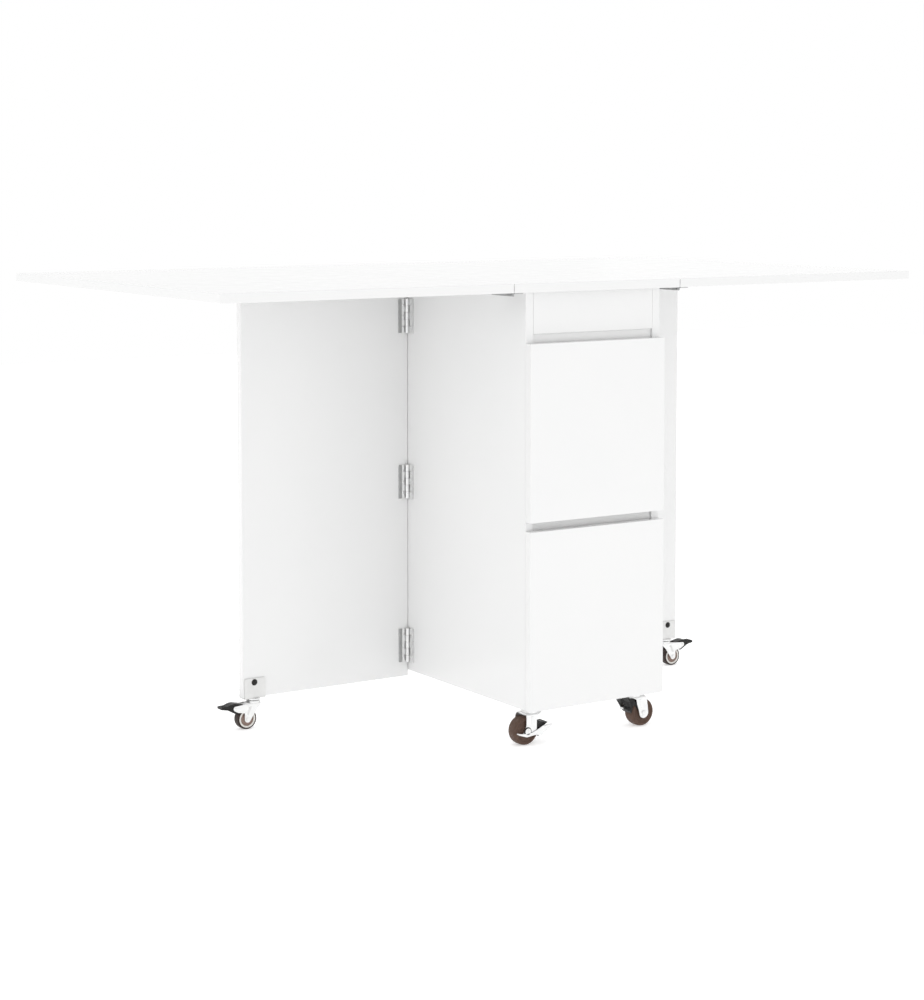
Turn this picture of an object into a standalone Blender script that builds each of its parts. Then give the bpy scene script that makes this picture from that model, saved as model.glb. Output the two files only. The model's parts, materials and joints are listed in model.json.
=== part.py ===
"""Gateleg table on casters: a narrow drawer cabinet, two drop leaves and two gates that carry them.

The frame: +Z up from the floor, +X along the long top, -Y towards the drawer fronts. The origin is
on the floor under the middle of the cabinet. Every size is in metres.
"""

import math

import bmesh
import bpy
from mathutils import Matrix, Vector

# ---- Driving dimensions -------------------------------------------------------------------

TABLE_LENGTH = 1.400
TABLE_DEPTH = 0.800
TABLE_HEIGHT = 0.770
BOARD = 0.015
GAP = 0.0003
EDGE_ROUNDING = 0.0007

CABINET_WIDTH = 0.275
CABINET_FLOOR_Z = 0.064
CARCASS_FRONT_Y = -TABLE_DEPTH / 2 + BOARD
CARCASS_REAR_Y = 0.385
FINGER_SLOT = 0.0148
SLOT_STEP = 0.0035
SLOT_COVER_BELOW = 0.010
SLOT_COVER_ABOVE = 0.006
LOWER_FRONT_TOP_Z = 0.362
UPPER_FRONT_TOP_Z = 0.671
REAR_SHELF_Z = 0.400

SEAM_X = 0.170
SEAM_WIDTH = 0.0012
UNDERSIDE_Z = TABLE_HEIGHT - BOARD

DRAWER_DEPTH = 0.345
DRAWER_BOX_HEIGHT = 0.215
DRAWER_BOARD = 0.012
DRAWER_BASE = 0.004
RUNNER_SPACE = 0.0125
DRAWER_BOX_LIFT = 0.026
DRAWER_BASE_LIFT = 0.010

GATE_END_X = 0.468
GATE_FACE_Y = -0.0176
GATE_BOTTOM_Z = 0.054
GATE_TOP_CLEARANCE = 0.005
GATE_INNER_CLEARANCE = 0.0006

HINGE_LENGTH = 0.060
KNUCKLES = 5
KNUCKLE_SPACE = 0.0006
PIN_CLEARANCE = 0.0003

GATE_HINGE_OFFSET = 0.005
GATE_HINGE_LEAF = 0.0152
GATE_HINGE_STEEL = 0.0015
GATE_HINGE_BARREL = 0.0035
GATE_HINGE_PIN = 0.0018
GATE_HINGE_HEIGHTS = {"upper": 0.697, "middle": 0.403, "lower": 0.110}

LEAF_HINGE_OFFSET = 0.0030
LEAF_HINGE_LEAF = 0.020
LEAF_HINGE_STEEL = 0.0011
LEAF_HINGE_BARREL = 0.0026
LEAF_HINGE_PIN = 0.0011
LEAF_HINGE_Y = -0.366

GATE_WHEEL_RADIUS = 0.018
GATE_WHEEL_WIDTH = 0.016
GATE_CASTER_TRAIL = 0.0146
GATE_CASTER_INSET = 0.0225
GATE_AXLE = 0.0024
GATE_FORK_STEEL = 0.0014
GATE_FORK_SIDE_PLAY = 0.0006
PEDAL_PIN_REACH = 0.0375
PEDAL_PIN_Z = 0.0385
PEDAL_PIN = 0.0016
BRACKET_WIDTH = 0.040
BRACKET_HEIGHT = 0.036
BRACKET_STEEL = 0.0018

WHEEL_RADIUS = 0.024
WHEEL_WIDTH = 0.0225
CASTER_TRAIL = 0.0136
CASTER_X = 0.1075
CASTER_Y = 0.355
CASTER_AXLE = 0.0030
FORK_STEEL = 0.0018
FORK_SIDE_PLAY = 0.0012
BRAKE_LEVER_STEEL = 0.0014
BRAKE_PRESSED = math.radians(28)

ROUND_STEPS = 24
SMALL_STEPS = 12

SIDES = {"left": -1, "right": 1}


# ---- Scene and materials ------------------------------------------------------------------


def clear_scene():
    """Remove whatever the scene holds."""
    for existing in list(bpy.data.objects):
        bpy.data.objects.remove(existing, do_unlink=True)


def parts_collection():
    """The collection that holds every piece of the table."""
    collection = bpy.data.collections.new("gateleg_table")
    bpy.context.scene.collection.children.link(collection)
    return collection


def finish(name, colour, roughness, metallic):
    """A Principled material with one colour."""
    material = bpy.data.materials.new(name)
    material.use_nodes = True
    shader = material.node_tree.nodes["Principled BSDF"]
    shader.inputs["Base Color"].default_value = (*colour, 1.0)
    shader.inputs["Roughness"].default_value = roughness
    shader.inputs["Metallic"].default_value = metallic
    return material


clear_scene()
PARTS = parts_collection()

WHITE = finish("white_lacquer", (0.86, 0.86, 0.86), 0.15, 0.0)
DRAWER_WHITE = finish("white_drawer_board", (0.80, 0.80, 0.79), 0.45, 0.0)
STEEL = finish("zinc_plated_steel", (0.72, 0.73, 0.75), 0.30, 1.0)
DULL_STEEL = finish("dull_zinc_steel", (0.40, 0.41, 0.42), 0.50, 1.0)
BRACKET_GREY = finish("grey_lacquered_steel", (0.78, 0.78, 0.78), 0.35, 0.3)
BROWN_RUBBER = finish("brown_rubber", (0.070, 0.048, 0.040), 0.55, 0.0)
DARK_RUBBER = finish("dark_rubber", (0.035, 0.024, 0.021), 0.55, 0.0)
BLACK_PLASTIC = finish("black_plastic", (0.020, 0.020, 0.022), 0.40, 0.0)


# ---- Building helpers ---------------------------------------------------------------------


def pivot(name, location, parent=None):
    """An empty on a joint's axis, placed by its world location."""
    empty = bpy.data.objects.new(name, None)
    empty.empty_display_size = 0.03
    PARTS.objects.link(empty)
    attach(empty, location, parent)
    return empty


def world_place(item):
    """The world location of a piece or pivot, whose parents are never turned."""
    place = Vector(item.location)
    while item.parent:
        item = item.parent
        place += item.location
    return place


def attach(item, location, parent):
    """Give an object its parent and its world location."""
    item.parent = parent
    item.location = Vector(location) - (world_place(parent) if parent else Vector())


def place(name, mesh, material, location, parent=None, turn=None):
    """Add a named piece whose mesh is drawn around its own origin."""
    piece = bpy.data.objects.new(name, mesh)
    PARTS.objects.link(piece)
    attach(piece, location, parent)
    if turn:
        piece.rotation_euler = turn.to_euler()
    if not mesh.materials:
        mesh.materials.append(material)
    return piece


def box_mesh(size, centre=(0, 0, 0)):
    """A plain box."""
    shape = bmesh.new()
    stretch = Matrix.Translation(centre) @ Matrix.Diagonal((*size, 1.0))
    bmesh.ops.create_cube(shape, size=1.0, matrix=stretch)
    return to_mesh(shape, "box")


def cylinder_mesh(radius, length, centre=(0, 0, 0), axis="Z", steps=ROUND_STEPS):
    """A capped cylinder along the Z or the Y axis."""
    turn = Matrix.Rotation(math.pi / 2, 4, "X") if axis == "Y" else Matrix.Identity(4)
    shape = bmesh.new()
    bmesh.ops.create_cone(
        shape,
        cap_ends=True,
        segments=steps,
        radius1=radius,
        radius2=radius,
        depth=length,
        matrix=Matrix.Translation(centre) @ turn,
    )
    return to_mesh(shape, "cylinder")


def to_mesh(shape, name):
    """Turn a bmesh into a mesh."""
    mesh = bpy.data.meshes.new(name)
    shape.to_mesh(mesh)
    shape.free()
    return mesh


def evaluated_mesh(piece):
    """The mesh of an object with its modifiers or its curve worked out, with its caps welded."""
    graph = bpy.context.evaluated_depsgraph_get()
    made = bpy.data.meshes.new_from_object(piece.evaluated_get(graph), depsgraph=graph)
    shape = bmesh.new()
    shape.from_mesh(made)
    bmesh.ops.remove_doubles(shape, verts=shape.verts, dist=0.000002)
    shape.to_mesh(made)
    shape.free()
    return made


def outline_mesh(points, thickness, centre_y=0.0):
    """A flat outline in the X-Z plane, given a thickness along Y."""
    curve = bpy.data.curves.new("outline", "CURVE")
    curve.dimensions = "2D"
    curve.fill_mode = "BOTH"
    curve.extrude = thickness / 2
    spline = curve.splines.new("POLY")
    spline.points.add(len(points) - 1)
    for point, (x, z) in zip(spline.points, points):
        point.co = (x, z, 0.0, 1.0)
    spline.use_cyclic_u = True
    drawn = bpy.data.objects.new("outline", curve)
    PARTS.objects.link(drawn)
    mesh = evaluated_mesh(drawn)
    bpy.data.objects.remove(drawn)
    mesh.transform(Matrix.Translation((0, centre_y, 0)) @ Matrix.Rotation(math.pi / 2, 4, "X"))
    return mesh


def turned_mesh(profile, axis_turn=None):
    """A closed profile of (radius, height) points, revolved about Z and then turned."""
    shape = bmesh.new()
    corners = [shape.verts.new((radius, 0, height)) for radius, height in profile]
    for one, other in zip(corners, corners[1:] + corners[:1]):
        shape.edges.new((one, other))
    drawn = bpy.data.objects.new("turned", to_mesh(shape, "turned"))
    PARTS.objects.link(drawn)
    screw = drawn.modifiers.new("revolve", "SCREW")
    screw.steps = ROUND_STEPS
    screw.render_steps = ROUND_STEPS
    screw.use_merge_vertices = True
    screw.merge_threshold = 0.00001
    mesh = evaluated_mesh(drawn)
    bpy.data.objects.remove(drawn)
    if axis_turn:
        mesh.transform(axis_turn)
    return mesh


def fused_mesh(shapes):
    """Join overlapping closed shapes into one solid with exact unions."""
    pieces = [bpy.data.objects.new("shape", mesh) for mesh in shapes]
    for piece in pieces:
        PARTS.objects.link(piece)
    for piece in pieces[1:]:
        union = pieces[0].modifiers.new("union", "BOOLEAN")
        union.operation = "UNION"
        union.solver = "EXACT"
        union.object = piece
    bpy.context.view_layer.update()
    mesh = evaluated_mesh(pieces[0])
    for piece in pieces:
        bpy.data.objects.remove(piece)
    return mesh


def cut_mesh(shape, cutter):
    """Take one closed shape out of another."""
    piece = bpy.data.objects.new("shape", shape)
    tool = bpy.data.objects.new("tool", cutter)
    PARTS.objects.link(piece)
    PARTS.objects.link(tool)
    cut = piece.modifiers.new("cut", "BOOLEAN")
    cut.operation = "DIFFERENCE"
    cut.solver = "EXACT"
    cut.object = tool
    bpy.context.view_layer.update()
    mesh = evaluated_mesh(piece)
    bpy.data.objects.remove(piece)
    bpy.data.objects.remove(tool)
    return mesh


def smooth(mesh, angle=35):
    """Shade a round piece smooth, with its real edges kept sharp."""
    mesh.shade_smooth()
    mesh.set_sharp_from_angle(angle=math.radians(angle))
    return mesh


def arc(x, z, radius, start, end, steps):
    """Points on an arc in the X-Z plane, with its angles in degrees."""
    turns = [math.radians(start + (end - start) * i / steps) for i in range(steps + 1)]
    return [(x + radius * math.cos(turn), z + radius * math.sin(turn)) for turn in turns]


def cross_bar_mesh(radius, length, place_xz):
    """An axle or a pin that crosses a fork along Y."""
    x, z = place_xz
    return cylinder_mesh(radius, length, (x, 0, z), "Y", SMALL_STEPS)


def bored_pad_mesh(outline, thickness, pin):
    """A moulded pedal with a running bore for its pin along Y."""
    hole = cross_bar_mesh(pin + PIN_CLEARANCE, 2 * thickness, (0, 0))
    return smooth(cut_mesh(outline_mesh(outline, thickness), hole), 50)


def board(name, low, high, material=None, parent=None):
    """A board between two corners, with lightly rounded edges."""
    low, high = Vector(low), Vector(high)
    piece = place(name, box_mesh(high - low), material or WHITE, (low + high) / 2, parent)
    bevel = piece.modifiers.new("edge", "BEVEL")
    bevel.width = EDGE_ROUNDING
    bevel.segments = 2
    return piece


# ---- Cabinet ------------------------------------------------------------------------------


def add_cabinet():
    """The fixed top section and the carcass under it."""
    inner = CABINET_WIDTH / 2 - BOARD - GAP
    outer = CABINET_WIDTH / 2
    top_z = UNDERSIDE_Z - GAP
    half_top = SEAM_X - SEAM_WIDTH / 2
    depth = TABLE_DEPTH / 2
    board("tabletop_centre", (-half_top, -depth, UNDERSIDE_Z), (half_top, depth, TABLE_HEIGHT))
    for side, way in SIDES.items():
        edges = sorted((way * outer, way * (outer - BOARD)))
        low = (edges[0], CARCASS_FRONT_Y, CABINET_FLOOR_Z)
        board(f"cabinet_side_{side}", low, (edges[1], CARCASS_REAR_Y, top_z))
    floor_top = CABINET_FLOOR_Z + BOARD
    board("cabinet_bottom", (-inner, CARCASS_FRONT_Y, CABINET_FLOOR_Z), (inner, CARCASS_REAR_Y, floor_top))
    board("cabinet_divider", (-inner, -BOARD / 2, floor_top + GAP), (inner, BOARD / 2, top_z))
    shelf_front = BOARD / 2 + GAP
    shelf_low = (-inner, shelf_front, REAR_SHELF_Z)
    board("rear_shelf", shelf_low, (inner, CARCASS_REAR_Y - 0.005, REAR_SHELF_Z + BOARD))
    slot_back = CARCASS_FRONT_Y + SLOT_STEP
    rail_low = (-inner, slot_back, LOWER_FRONT_TOP_Z - SLOT_COVER_BELOW)
    rail_high = (inner, slot_back + BOARD, LOWER_FRONT_TOP_Z + FINGER_SLOT + SLOT_COVER_ABOVE)
    board("cabinet_rail", rail_low, rail_high)
    add_front_rail(2 * inner, slot_back, top_z)


def add_front_rail(width, slot_back, top_z):
    """The rail over the upper drawer. Its stepped lower edge closes the finger slot."""
    step_z = UPPER_FRONT_TOP_Z + FINGER_SLOT
    low_z = UPPER_FRONT_TOP_Z - SLOT_COVER_BELOW / 2
    back_y = CARCASS_FRONT_Y + BOARD
    outline = [(CARCASS_FRONT_Y, step_z), (CARCASS_FRONT_Y, top_z), (back_y, top_z)]
    outline += [(back_y, low_z), (slot_back, low_z), (slot_back, step_z)]
    mesh = outline_mesh(outline, width)
    mesh.transform(Matrix.Rotation(math.pi / 2, 4, "Z"))
    bevel = place("front_rail", mesh, WHITE, (0, 0, 0)).modifiers.new("edge", "BEVEL")
    bevel.width = EDGE_ROUNDING
    bevel.segments = 2


# ---- Drawers ------------------------------------------------------------------------------


def add_drawer(level, front_low_z, front_top_z):
    """A drawer: an overlay front on a box of four thin boards and a base."""
    half_width = CABINET_WIDTH / 2
    box_half = half_width - BOARD - RUNNER_SPACE
    front_y = CARCASS_FRONT_Y - GAP
    body = pivot(f"{level}_drawer_slide", (0, front_y, (front_low_z + front_top_z) / 2))
    front_low = (-half_width, front_y - BOARD + GAP, front_low_z)
    board(f"drawer_front_{level}", front_low, (half_width, front_y, front_top_z), parent=body)
    box_front = front_y + GAP
    box_rear = box_front + DRAWER_DEPTH
    low_z = front_low_z + DRAWER_BOX_LIFT
    top_z = low_z + DRAWER_BOX_HEIGHT
    for side, way in SIDES.items():
        edges = sorted((way * box_half, way * (box_half - DRAWER_BOARD)))
        low = (edges[0], box_front, low_z)
        board(f"drawer_side_{level}_{side}", low, (edges[1], box_rear, top_z), DRAWER_WHITE, body)
    inner = box_half - DRAWER_BOARD - GAP
    back_low = (-inner, box_rear - DRAWER_BOARD, low_z)
    board(f"drawer_back_{level}", back_low, (inner, box_rear, top_z), DRAWER_WHITE, body)
    base_z = low_z + DRAWER_BASE_LIFT
    base_high = (inner, box_rear - DRAWER_BOARD - GAP, base_z + DRAWER_BASE)
    board(f"drawer_base_{level}", (-inner, box_front, base_z), base_high, DRAWER_WHITE, body)


# ---- Hinges -------------------------------------------------------------------------------


def hinge_leaf_mesh(width, offset, steel, barrel_radius, pin, fixed):
    """One leaf of a butt hinge, drawn around its pin.

    The pin runs along Z, the leaf reaches out along +X, and its outer face is at Y = offset. The
    fixed leaf has the odd knuckles and the pin, and the moving leaf has the bored knuckles between.
    """
    knuckle = HINGE_LENGTH / KNUCKLES
    tall = knuckle - KNUCKLE_SPACE
    bore = pin + PIN_CLEARANCE
    shoulder = barrel_radius + 0.0005
    plate_y = offset - steel / 2
    plate_centre = ((width + shoulder) / 2, plate_y, 0)
    shapes = [box_mesh((width - shoulder, steel, HINGE_LENGTH), plate_centre)]
    tab_start = 0.0 if plate_y - steel / 2 > bore else bore + PIN_CLEARANCE
    tab_size = (shoulder - tab_start + 0.001, steel * 0.94, tall * 0.96)
    for index in range(0 if fixed else 1, KNUCKLES, 2):
        z = (index + 0.5) * knuckle - HINGE_LENGTH / 2
        shapes.append(box_mesh(tab_size, (tab_start + tab_size[0] / 2, plate_y, z)))
        barrel = cylinder_mesh(barrel_radius, tall, (0, 0, z), steps=SMALL_STEPS)
        if not fixed:
            hole = cylinder_mesh(bore, HINGE_LENGTH, (0, 0, z), steps=SMALL_STEPS)
            barrel = cut_mesh(barrel, hole)
        shapes.append(barrel)
    if fixed:
        shapes.append(cylinder_mesh(pin, HINGE_LENGTH + GAP, steps=SMALL_STEPS))
    return smooth(fused_mesh(shapes))


def axes_turn(along_leaf, outward):
    """The turn that lays a hinge leaf's +X and +Y along two world directions."""
    x, y = Vector(along_leaf), Vector(outward)
    return Matrix((x, y, x.cross(y))).transposed()


def add_gate_hinges(side, way, hinge_x, hinge_y, gate):
    """Three butt hinges in the front corner between a gate and the cabinet's side."""
    for level, z in GATE_HINGE_HEIGHTS.items():
        place(
            f"gate_hinge_{side}_{level}_fixed",
            GATE_HINGE_FIXED,
            STEEL,
            (hinge_x, hinge_y, z),
            turn=axes_turn((0, -1, 0), (-way, 0, 0)),
        )
        place(
            f"gate_hinge_{side}_{level}_moving",
            GATE_HINGE_MOVING,
            STEEL,
            (hinge_x, hinge_y, z),
            gate,
            axes_turn((way, 0, 0), (0, 1, 0)),
        )


# ---- Leaves -------------------------------------------------------------------------------


def add_leaf(side, way):
    """A drop leaf on the hinge under its seam."""
    axis_z = UNDERSIDE_Z - LEAF_HINGE_OFFSET
    body = pivot(f"{side}_leaf_hinge", (way * SEAM_X, LEAF_HINGE_Y, axis_z))
    inner = way * (SEAM_X + SEAM_WIDTH / 2)
    edges = sorted((inner, way * TABLE_LENGTH / 2))
    low = (edges[0], -TABLE_DEPTH / 2, UNDERSIDE_Z)
    board(f"leaf_panel_{side}", low, (edges[1], TABLE_DEPTH / 2, TABLE_HEIGHT), parent=body)
    hinge_place = (way * SEAM_X, LEAF_HINGE_Y, axis_z)
    fixed_turn = axes_turn((-way, 0, 0), (0, 0, 1))
    moving_turn = axes_turn((way, 0, 0), (0, 0, 1))
    place(f"leaf_hinge_{side}_fixed", LEAF_HINGE_FIXED, DULL_STEEL, hinge_place, turn=fixed_turn)
    place(
        f"leaf_hinge_{side}_moving",
        LEAF_HINGE_MOVING,
        DULL_STEEL,
        hinge_place,
        body,
        moving_turn,
    )


# ---- Casters on the gates -----------------------------------------------------------------


def bracket_mesh():
    """The steel channel that clasps a gate's lower edge, with the swivel's upper race under it.

    It is drawn around the swivel's axis, at the height of the gate's lower edge.
    """
    half_board = BOARD / 2 + GAP
    cheek_y = half_board + BRACKET_STEEL / 2
    base_z = -GAP - BRACKET_STEEL / 2
    span = 2 * (half_board + BRACKET_STEEL)
    base = box_mesh((BRACKET_WIDTH, span, BRACKET_STEEL), (0, 0, base_z))
    tall = BRACKET_HEIGHT + GAP + BRACKET_STEEL / 2
    cheek_z = base_z + tall / 2
    cheeks = [
        box_mesh((BRACKET_WIDTH - 0.0002, BRACKET_STEEL * 0.98, tall), (0, way * cheek_y, cheek_z))
        for way in (-1, 1)
    ]
    race = cylinder_mesh(0.0128, 0.0040, (0, 0, base_z - 0.0015))
    return smooth(fused_mesh([base, *cheeks, race]))


def gate_fork_mesh():
    """The gate caster's swivel head, fork and axle, drawn around the swivel's axis on the floor."""
    cheek_y = GATE_WHEEL_WIDTH / 2 + GATE_FORK_SIDE_PLAY + GATE_FORK_STEEL / 2
    axle = (GATE_CASTER_TRAIL, GATE_WHEEL_RADIUS)
    pin = (PEDAL_PIN_REACH, PEDAL_PIN_Z)
    outline = [(-0.0110, 0.0458), (-0.0110, 0.0440), (-0.0071, 0.0379)]
    outline += [(-0.0022, 0.0334), (0.0017, 0.0269)]
    outline += arc(*axle, 0.0059, 195, 350, 7)
    outline += [(0.0204, 0.0289), (0.0330, 0.0312)]
    outline += arc(*pin, 0.0042, -70, 80, 5)
    outline += [(0.0130, 0.0458)]
    cheeks = [outline_mesh(outline, GATE_FORK_STEEL, way * cheek_y) for way in (-1, 1)]
    span = 2 * cheek_y + GATE_FORK_STEEL
    bridge = box_mesh((0.0215, span - 0.0001, 0.0030), (0.0010, 0, 0.0441))
    head = cylinder_mesh(0.0122, 0.0036, (0, 0, 0.0465))
    axle_bar = cross_bar_mesh(GATE_AXLE, span + 0.0026, axle)
    pin_bar = cross_bar_mesh(PEDAL_PIN, span + 0.0018, pin)
    return smooth(fused_mesh([*cheeks, bridge, head, axle_bar, pin_bar]))


def gate_pedal_mesh():
    """The gate caster's brake pedal, drawn around its pin, with the toe that presses on the tread."""
    top = [(-0.0150, 0.0065), (-0.0060, 0.0085), (0.0010, 0.0102), (0.0080, 0.0092)]
    top += [(0.0150, 0.0062), (0.0262, 0.0050)]
    under = [(0.0264, 0.0018), (0.0150, 0.0006), (0.0105, -0.0012), (0.0060, -0.0045)]
    under += [(-0.0015, -0.0100)]
    toe = [(-0.0051, -0.0110), (-0.0063, -0.0080), (-0.0070, -0.0010), (-0.0150, 0.0042)]
    return bored_pad_mesh(top + under + toe, GATE_WHEEL_WIDTH + 0.0002, PEDAL_PIN)


def wheel_mesh(radius, width, axle, rim, recess):
    """A moulded wheel with a rounded tread and a recessed web, turned about the Y axis."""
    half = width / 2
    bore = axle + PIN_CLEARANCE
    side = [
        (bore, half * 0.90),
        (rim * 0.40, half * 0.90),
        (rim * 0.90, half - recess),
        (rim, half * 0.95),
        (radius * 0.93, half),
        (radius, half * 0.45),
    ]
    profile = side + [(r, -h) for r, h in reversed(side)]
    return smooth(turned_mesh(profile, Matrix.Rotation(math.pi / 2, 4, "X")), 40)


def add_gate(side, way):
    """A gate: its panel, hinges, caster bracket, fork, wheel and pedal."""
    hinge_x = way * (CABINET_WIDTH / 2 + GATE_HINGE_OFFSET)
    hinge_y = GATE_FACE_Y - GATE_HINGE_OFFSET
    gate = pivot(f"{side}_gate_hinge", (hinge_x, hinge_y, 0))
    inner = way * (CABINET_WIDTH / 2 + GATE_INNER_CLEARANCE)
    edges = sorted((inner, way * GATE_END_X))
    high = (edges[1], GATE_FACE_Y + BOARD, UNDERSIDE_Z - GATE_TOP_CLEARANCE)
    board(f"gate_panel_{side}", (edges[0], GATE_FACE_Y, GATE_BOTTOM_Z), high, parent=gate)
    add_gate_hinges(side, way, hinge_x, hinge_y, gate)

    swivel_x = way * (GATE_END_X - GATE_CASTER_INSET)
    swivel_y = GATE_FACE_Y + BOARD / 2
    outward = Matrix.Rotation(0 if way > 0 else math.pi, 3, "Z")
    bracket_place = (swivel_x, swivel_y, GATE_BOTTOM_Z)
    place(f"gate_caster_bracket_{side}", BRACKET, BRACKET_GREY, bracket_place, gate, outward)
    swivel = pivot(f"{side}_gate_swivel", (swivel_x, swivel_y, 0), gate)
    place(f"gate_caster_fork_{side}", GATE_FORK, STEEL, (swivel_x, swivel_y, 0), swivel, outward)
    axle = (swivel_x + way * GATE_CASTER_TRAIL, swivel_y, GATE_WHEEL_RADIUS)
    place(f"gate_caster_wheel_{side}", GATE_WHEEL, DARK_RUBBER, axle, swivel, outward)
    pin = (swivel_x + way * PEDAL_PIN_REACH, swivel_y, PEDAL_PIN_Z)
    place(f"gate_caster_pedal_{side}", GATE_PEDAL, BLACK_PLASTIC, pin, swivel, outward)


# ---- Casters under the cabinet ------------------------------------------------------------


def caster_plate_mesh():
    """The screw-on plate and the swivel's upper race, drawn at the cabinet's underside."""
    plate = box_mesh((0.042, 0.038, 0.0020), (0, 0, -GAP - 0.0010))
    race = cylinder_mesh(0.0150, 0.0046, (0, 0, -0.0041))
    return smooth(fused_mesh([plate, race]))


def caster_fork_mesh():
    """The cabinet caster's swivel head, fork and axle, drawn around the swivel's axis on the floor."""
    cheek_y = WHEEL_WIDTH / 2 + FORK_SIDE_PLAY + FORK_STEEL / 2
    axle = (CASTER_TRAIL, WHEEL_RADIUS)
    outline = [(-0.0175, 0.0542), (-0.0175, 0.0495), (-0.0125, 0.0425)]
    outline += arc(*axle, 0.0098, 205, 355, 7)
    outline += [(0.0185, 0.0495), (0.0175, 0.0542)]
    cheeks = [outline_mesh(outline, FORK_STEEL, way * cheek_y) for way in (-1, 1)]
    span = 2 * cheek_y + FORK_STEEL
    bridge = box_mesh((0.0345, span - 0.0001, 0.0028), (0, 0, 0.0529))
    head = cylinder_mesh(0.0145, 0.0044, (0, 0, 0.0551))
    axle_bar = cross_bar_mesh(CASTER_AXLE, span + 0.0042, axle)
    return smooth(fused_mesh([*cheeks, bridge, head, axle_bar]))


def caster_brake_mesh():
    """The foot brake of a front caster, raised, drawn around the wheel's axle.

    A forked pad lies over the tread, and a lever outside the fork carries it on the axle.
    """
    top = [(-0.0340, 0.0297), (-0.0318, 0.0284), (-0.0302, 0.0266), (-0.0205, 0.0256)]
    shoe = arc(0, 0, WHEEL_RADIUS + 0.0009, 131, 178, 6)
    prongs = [(-0.0292, 0.0046), (-0.0292, 0.0080), (-0.0258, 0.0112), (-0.0268, 0.0165)]
    prongs += [(-0.0336, 0.0280)]
    pad = outline_mesh(top + shoe + prongs, WHEEL_WIDTH + 0.0016)
    lever_low = [(0.0192, -0.0122), (0.0132, -0.0118), (-0.0020, -0.0090), (-0.0160, 0.0004)]
    lever_low += [(-0.0292, 0.0046), (-0.0292, 0.0084), (-0.0405, 0.0262), (-0.0396, 0.0298)]
    lever_high = [(-0.0240, 0.0205), (-0.0140, 0.0105), (-0.0040, 0.0070)]
    lever_high += [(0.0040, 0.0062), (0.0072, 0.0010), (0.0132, -0.0060), (0.0192, -0.0092)]
    fork_side = WHEEL_WIDTH / 2 + FORK_SIDE_PLAY + FORK_STEEL
    lever_y = fork_side + 0.0005 + BRAKE_LEVER_STEEL / 2
    lever = outline_mesh(lever_low + lever_high, BRAKE_LEVER_STEEL, lever_y)
    web_low_y = WHEEL_WIDTH / 4
    web_high_y = lever_y + BRAKE_LEVER_STEEL * 0.4
    web_size = (0.0028, web_high_y - web_low_y, 0.0028)
    web = box_mesh(web_size, (-0.0273, (web_low_y + web_high_y) / 2, 0.0064))
    hole = cross_bar_mesh(CASTER_AXLE + PIN_CLEARANCE, 0.1, (0, 0))
    return smooth(cut_mesh(fused_mesh([pad, web, lever]), hole), 40)


def add_caster(end, side):
    """A swivel caster under a corner of the cabinet. The front pair has foot brakes."""
    way = SIDES[side]
    x, y = way * CASTER_X, (-CASTER_Y if end == "front" else CASTER_Y)
    outward = Matrix.Rotation(0 if way > 0 else math.pi, 3, "Z")
    name = f"{end}_{side}"
    place(f"caster_plate_{name}", CASTER_PLATE, STEEL, (x, y, CABINET_FLOOR_Z), turn=outward)
    swivel = pivot(f"{name}_swivel", (x, y, 0))
    place(f"caster_fork_{name}", CASTER_FORK, STEEL, (x, y, 0), swivel, outward)
    axle = (x + way * CASTER_TRAIL, y, WHEEL_RADIUS)
    place(f"caster_wheel_{name}", CASTER_WHEEL, BROWN_RUBBER, axle, swivel, outward)
    if end == "front":
        pressed = 0.0 if side == "right" else BRAKE_PRESSED
        tilt = outward @ Matrix.Rotation(-pressed, 3, "Y")
        place(f"caster_brake_{name}", CASTER_BRAKE, BLACK_PLASTIC, axle, swivel, tilt)


# ---- Assembly -----------------------------------------------------------------------------

GATE_HINGE = (
    GATE_HINGE_LEAF,
    GATE_HINGE_OFFSET - GAP,
    GATE_HINGE_STEEL,
    GATE_HINGE_BARREL,
    GATE_HINGE_PIN,
)
LEAF_HINGE = (
    LEAF_HINGE_LEAF,
    LEAF_HINGE_OFFSET - GAP,
    LEAF_HINGE_STEEL,
    LEAF_HINGE_BARREL,
    LEAF_HINGE_PIN,
)
GATE_HINGE_FIXED = hinge_leaf_mesh(*GATE_HINGE, fixed=True)
GATE_HINGE_MOVING = hinge_leaf_mesh(*GATE_HINGE, fixed=False)
LEAF_HINGE_FIXED = hinge_leaf_mesh(*LEAF_HINGE, fixed=True)
LEAF_HINGE_MOVING = hinge_leaf_mesh(*LEAF_HINGE, fixed=False)
BRACKET = bracket_mesh()
GATE_FORK = gate_fork_mesh()
GATE_PEDAL = gate_pedal_mesh()
GATE_WHEEL = wheel_mesh(GATE_WHEEL_RADIUS, GATE_WHEEL_WIDTH, GATE_AXLE, 0.0150, 0.0022)
CASTER_PLATE = caster_plate_mesh()
CASTER_FORK = caster_fork_mesh()
CASTER_BRAKE = caster_brake_mesh()
CASTER_WHEEL = wheel_mesh(WHEEL_RADIUS, WHEEL_WIDTH, CASTER_AXLE, 0.0185, 0.0012)

add_cabinet()
add_drawer("lower", CABINET_FLOOR_Z, LOWER_FRONT_TOP_Z)
add_drawer("upper", LOWER_FRONT_TOP_Z + FINGER_SLOT, UPPER_FRONT_TOP_Z)
for leaf_side, leaf_way in SIDES.items():
    add_leaf(leaf_side, leaf_way)
    add_gate(leaf_side, leaf_way)
for caster_end in ("front", "rear"):
    for caster_side in SIDES:
        add_caster(caster_end, caster_side)
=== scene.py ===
import json
import math

import bmesh
import bpy
from mathutils import Matrix, Vector


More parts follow.
